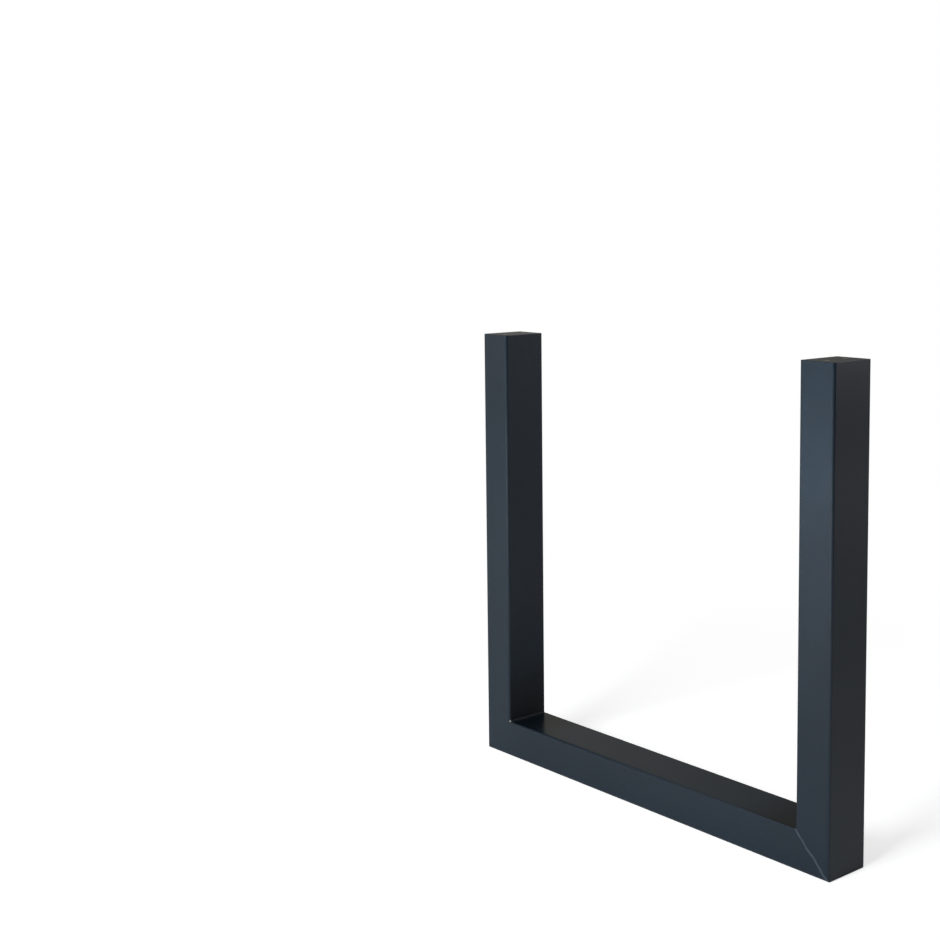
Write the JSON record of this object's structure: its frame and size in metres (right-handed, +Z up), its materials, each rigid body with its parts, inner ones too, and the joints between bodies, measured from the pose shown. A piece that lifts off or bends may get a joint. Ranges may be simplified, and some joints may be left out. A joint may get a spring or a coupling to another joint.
{
  "type": "u shaped table leg",
  "caption": "U-shaped table leg of mitred rectangular steel tube, powder coated, with a tapped plate closing the top of each upright for bolts down through the table top.",
  "frame": {"origin": "on the floor under the middle of the bottom rail, at the bottom centre of the bounding box", "axes": "+Z up, +X along the width of the U, towards the upright nearer the camera in the picture; +Y through the depth of the tube, away from the face seen there"},
  "size_m": [0.75, 0.0808, 0.72],
  "materials": {
    "powder_coat": "satin blue-black powder coat",
    "coated_weld": "the same coat over a dressed weld, a little lighter where it is thin",
    "coated_plate": "satin blue-black powder coat on flat plate"
  },
  "bodies": {
    "root": {"bottom_rail": "powder_coat", "left_upright": "powder_coat", "right_upright": "powder_coat", "left_corner_weld": "coated_weld", "right_corner_weld": "coated_weld", "left_top_plate": "coated_plate", "right_top_plate": "coated_plate", "left_plate_weld": "coated_weld", "right_plate_weld": "coated_weld"}
  },
  "joints": []
}
